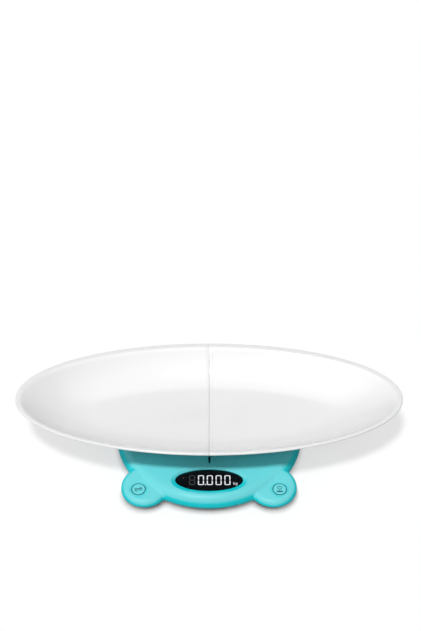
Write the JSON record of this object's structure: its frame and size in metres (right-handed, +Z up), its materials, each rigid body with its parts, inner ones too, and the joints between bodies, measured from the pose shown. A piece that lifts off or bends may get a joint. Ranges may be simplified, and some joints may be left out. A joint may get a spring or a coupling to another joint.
{
  "type": "baby weighing scale",
  "caption": "Low round base with front lobes that hold push buttons and an oval display window between them, under a shallow oval tray in lift-off halves.",
  "frame": {"origin": "centre of the bounding box at the table surface under the feet", "axes": "+X to the right seen from the display side, along the tray; +Y from the display side to the back; +Z up"},
  "size_m": [0.56, 0.284, 0.07],
  "materials": {
    "turquoise_case": "satin moulded ABS",
    "white_tray": "glossy moulded plastic",
    "dark_window": "dark polished window",
    "black_component": "matt",
    "circuit_board": "solder mask",
    "rubber_pad": "matt",
    "foot_plastic": "satin",
    "red_wire": "smooth insulation",
    "blue_wire": "smooth insulation",
    "battery_jacket": "satin jacket with a bare cap",
    "contact_metal": "nickel plated",
    "screw_steel": "zinc plated",
    "sensor_steel": "brushed",
    "switch_metal": "satin shell"
  },
  "bodies": {
    "base": {"top_case": "turquoise_case", "bottom_case": "turquoise_case", "display_lens": "dark_window", "display_module": "black_component", "main_board": "circuit_board", "board_chips": "black_component", "left_switch": "switch_metal", "right_switch": "switch_metal", "left_switch_board": "circuit_board", "right_switch_board": "circuit_board", "front_left_load_cell": "sensor_steel", "front_right_load_cell": "sensor_steel", "rear_left_load_cell": "sensor_steel", "rear_right_load_cell": "sensor_steel", "front_left_foot": "foot_plastic", "front_right_foot": "foot_plastic", "rear_left_foot": "foot_plastic", "rear_right_foot": "foot_plastic", "front_left_foot_pad": "rubber_pad", "front_right_foot_pad": "rubber_pad", "rear_left_foot_pad": "rubber_pad", "rear_right_foot_pad": "rubber_pad", "front_left_cell_leads": "red_wire", "front_right_cell_leads": "red_wire", "rear_left_cell_leads": "red_wire", "rear_right_cell_leads": "red_wire", "left_switch_leads": "blue_wire", "right_switch_leads": "blue_wire", "battery_leads": "red_wire", "battery_1": "battery_jacket", "battery_2": "battery_jacket", "battery_3": "battery_jacket", "battery_springs": "contact_metal", "battery_plates": "contact_metal", "case_screws": "screw_steel", "board_screws": "screw_steel", "load_cell_screws": "screw_steel"},
    "left_button": {"left_button": "turquoise_case", "left_switch_plunger": "black_component"},
    "right_button": {"right_button": "turquoise_case", "right_switch_plunger": "black_component"},
    "battery_door": {"battery_door": "turquoise_case"},
    "tray_left": {"tray_left": "white_tray"},
    "tray_right": {"tray_right": "white_tray"}
  },
  "joints": [
    {"name": "tray_left_lift", "type": "slide", "parent": "base", "child": "tray_left", "axis": [0, 0, 1], "range_m": [0, 0.06]},
    {"name": "tray_right_lift", "type": "slide", "parent": "tray_left", "child": "tray_right", "axis": [0, 0, 1], "range_m": [0, 0.06]},
    {"name": "left_button_press", "type": "slide", "parent": "base", "child": "left_button", "axis": [0, 0.1392, -0.9903], "range_m": [0, 0.0006], "stiffness_N_per_m": 400, "springref_m": -0.0005},
    {"name": "right_button_press", "type": "slide", "parent": "base", "child": "right_button", "axis": [0, 0.1392, -0.9903], "range_m": [0, 0.0006], "stiffness_N_per_m": 400, "springref_m": -0.0005},
    {"name": "battery_door_swing", "type": "hinge", "parent": "base", "child": "battery_door", "pos_m": [0, 0.04065, 0.00515], "axis": [1, 0, 0], "range_deg": [0, 75]}
  ]
}
